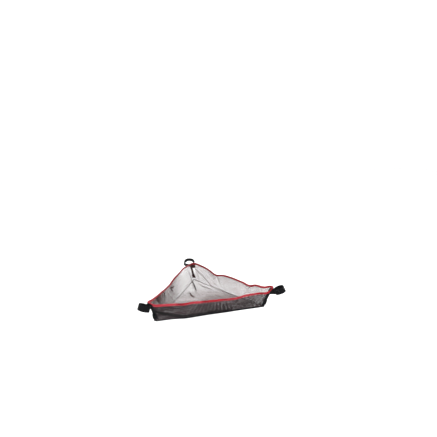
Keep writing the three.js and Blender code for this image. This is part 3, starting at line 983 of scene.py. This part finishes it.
def strap_stitches(name, corner, lines, out_at, body):
    """Stitches on the outside of a loop along lines of (degrees, height up the leg) points."""
    space, axes = strap_space(corner)
    found = []
    for line in lines:
        line = np.array(line, float)
        t = np.linspace(0, len(line) - 1, 16 * (len(line) - 1) + 1)
        degrees, height = (np.interp(t, np.arange(len(line)), line[:, k]) for k in (0, 1))
        local, away = loop_line(corner, degrees, out_at(degrees))
        local[:, 2] = height
        point, out = space(local), away @ axes
        found.append(spaced(point, unit(np.gradient(point, axis=0)), out, 0.0032))
    stitches = [np.concatenate(part) for part in zip(*found)]
    piece = stitch_object(name, *stitches, 0.0026, 0.0008, BLACK_THREAD)
    return finish_piece(piece, body, "strap_webbing")


def leg_strap(corner):
    strap, flap = "strap_" + corner, "flap_" + corner
    half = STRAP_WIDTH / 2

    def level(out):
        return lambda degrees: out + 0 * degrees

    band = strap_stretch(corner + "_band_webbing", corner, BAND_START, BAND_END, level(0),
                         STRAP_HALF, half, STRAP)
    finish_piece(band, strap, "strap_webbing", corner + "_strap_band")
    bend = strap_stretch(corner + "_bend_webbing", corner, BAND_START, FLAP_START, flap_out,
                         STRAP_HALF, half, STRAP)
    space, _ = strap_space(corner)
    line, _ = loop_line(corner, np.array([BAND_START, FLAP_START], float), 0.0)
    root, tip = (tuple(place) for place in space(line))
    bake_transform(bend)
    loose = strap_stretch(corner + "_flap_webbing", corner, FLAP_START, FLAP_END, flap_out,
                          STRAP_HALF, half, STRAP, round_end=True)
    finish_piece(loose, flap, "strap_webbing", corner + "_strap_flap")
    for facing, out, material, body, fabric, node in (
        ("_loop_facing", LOOP_PATCH_OUT, LOOP, strap, "loop_fabric", "_loop_patch"),
        ("_hook_facing", HOOK_PATCH_OUT, HOOK, flap, "hook_fabric", "_hook_patch"),
    ):
        patch = strap_stretch(corner + facing, corner, PATCH_START, PATCH_END, level(out),
                              PATCH_HALF, half - PATCH_INSET, material)
        finish_piece(patch, body, fabric, corner + node)
    low, high = STRAP_ABOVE_HINGE - STRAP_WIDTH + 0.003, STRAP_ABOVE_HINGE - 0.003
    box = [(PATCH_START, low), (PATCH_END, low), (PATCH_END, high), (PATCH_START, high)]
    box.append(box[0])

    def flap_face(degrees):
        return flap_out(degrees) + STRAP_HALF + 0.0001

    strap_stitches(corner + "_flap_stitching", corner, [box], flap_face, flap)


# ---- stage, light and camera ----


def studio():
    scene = bpy.context.scene
    mesh = bpy.data.meshes.new("studio_floor")
    size = 9.0
    corners = [(-size, -size, GROUND), (size, -size, GROUND), (size, size, GROUND), (-size, size, GROUND)]
    mesh.from_pydata(corners, [], [(0, 1, 2, 3)])
    mesh.materials.append(floor_paint())
    ground = bpy.data.objects.new("studio_floor", mesh)
    scene.collection.objects.link(ground)
    world = bpy.data.worlds.new("studio")
    world.use_nodes = True
    world.node_tree.nodes["Background"].inputs["Color"].default_value = (1, 1, 1, 1)
    world.node_tree.nodes["Background"].inputs["Strength"].default_value = 1.15
    scene.world = world
    for name, spot, size, power in (
        ("key", (-1.6, -1.8, 2.2), 3.0, 70),
        ("fill", (1.9, -1.2, 1.5), 3.0, 45),
        ("back", (0.4, 2.2, 1.8), 3.0, 45),
    ):
        lamp = bpy.data.lights.new(name, "AREA")
        lamp.size, lamp.energy = size, power
        light = bpy.data.objects.new(name, lamp)
        place = np.array(spot)
        back = unit(place)
        side = unit(np.cross([0, 0, 1.0], back))
        light.matrix_world = Matrix(np.column_stack([side, np.cross(back, side), back]).tolist()).to_4x4()
        light.location = spot
        scene.collection.objects.link(light)
    scene.view_settings.view_transform = "Standard"


def camera(azimuth, elevation, roll, place, focal):
    """Looks along +Y at azimuth 0, from "elevation" degrees above the level, turned by "roll"."""
    a, e, turn = (math.radians(x) for x in (azimuth, elevation, roll))
    back = np.array([math.sin(a) * math.cos(e), -math.cos(a) * math.cos(e), math.sin(e)])
    right = unit(np.cross([0, 0, 1.0], back))
    up = np.cross(back, right)
    turned = math.cos(turn) * right + math.sin(turn) * up
    upright = math.cos(turn) * up - math.sin(turn) * right
    data = bpy.data.cameras.new("camera")
    data.sensor_width, data.lens = 36, focal
    view = bpy.data.objects.new("camera", data)
    view.matrix_world = Matrix(np.column_stack([turned, upright, back]).tolist()).to_4x4()
    view.location = place
    bpy.context.scene.collection.objects.link(view)
    bpy.context.scene.camera = view


camera(-14.52, 11.52, -0.74, (-0.3388, -1.5666, 0.6236), 30.73)
studio()

cloth = {side: wall(side) for side in SIDES}
base = floor()
rim_tape()
seam_tape()
for corner in CORNERS:
    corner_webbing(corner)
    strap_anchor(corner)
    leg_strap(corner)
